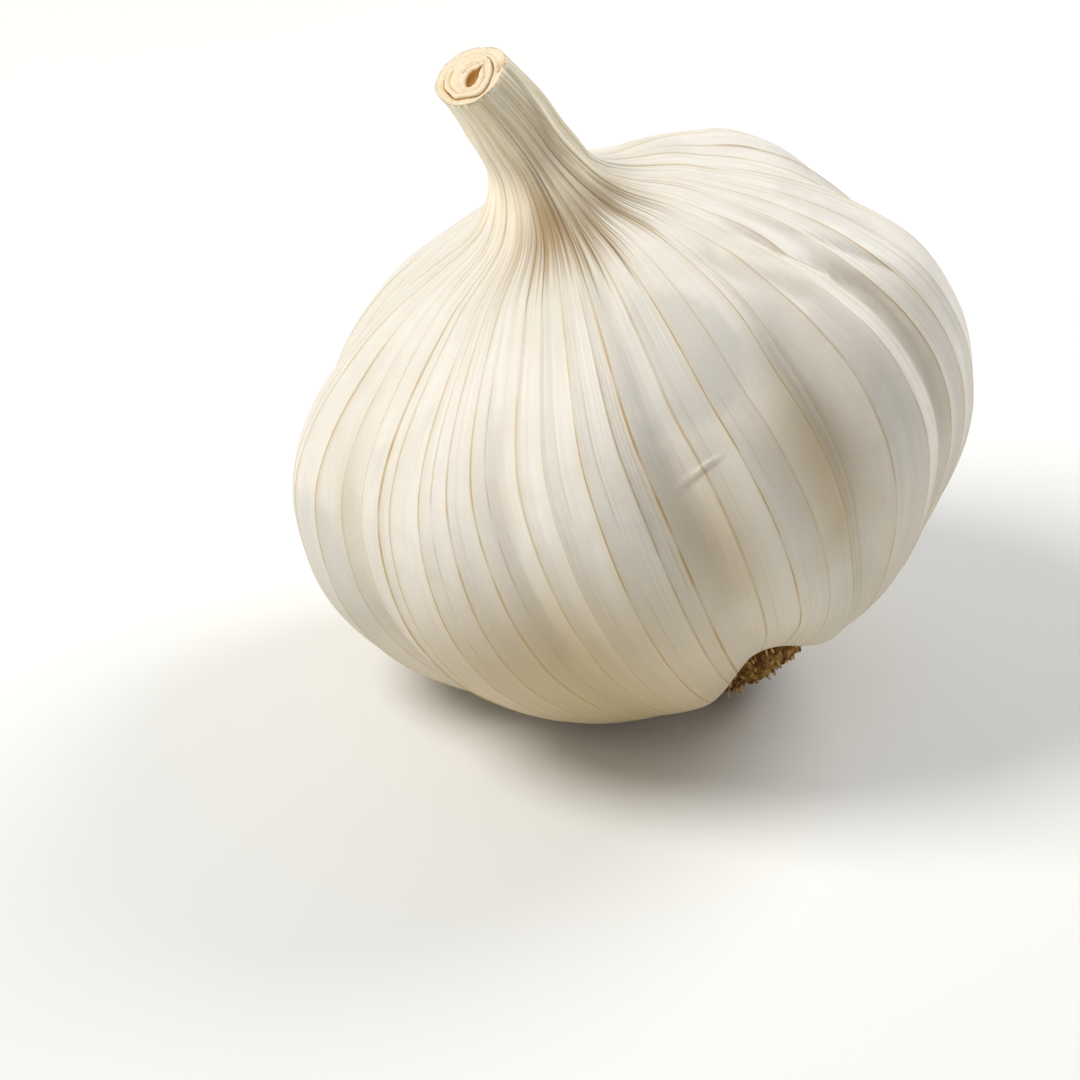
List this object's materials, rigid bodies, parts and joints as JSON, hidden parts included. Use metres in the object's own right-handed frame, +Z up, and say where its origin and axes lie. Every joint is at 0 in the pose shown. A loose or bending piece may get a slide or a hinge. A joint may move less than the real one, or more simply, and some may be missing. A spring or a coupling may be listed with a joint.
{
  "type": "garlic bulb",
  "caption": "Whole cured garlic bulb with lobed papery skin, a short cut neck and a trimmed root plate, lying on its side.",
  "frame": {"origin": "on the ground, in the flat spot under the lowest lobe that the bulb rests on", "axes": "+Z up from the ground, +X towards the side that the root plate faces, -Y towards the viewer; the neck leans towards -X"},
  "size_m": [0.0628, 0.0619, 0.0637],
  "materials": {
    "papery_skin": "thin papery skin, satin, cream white with fine tan veins, tan and grooved on the neck",
    "dry_leaf": "dry rolled leaf, matt, cream with a brown hollow",
    "root_cork": "rough brown cork with frayed trimmed roots, matt"
  },
  "bodies": {
    "root": {"bulb": "papery_skin", "neck_inner_leaf": "dry_leaf", "root_plate": "root_cork"}
  },
  "joints": []
}
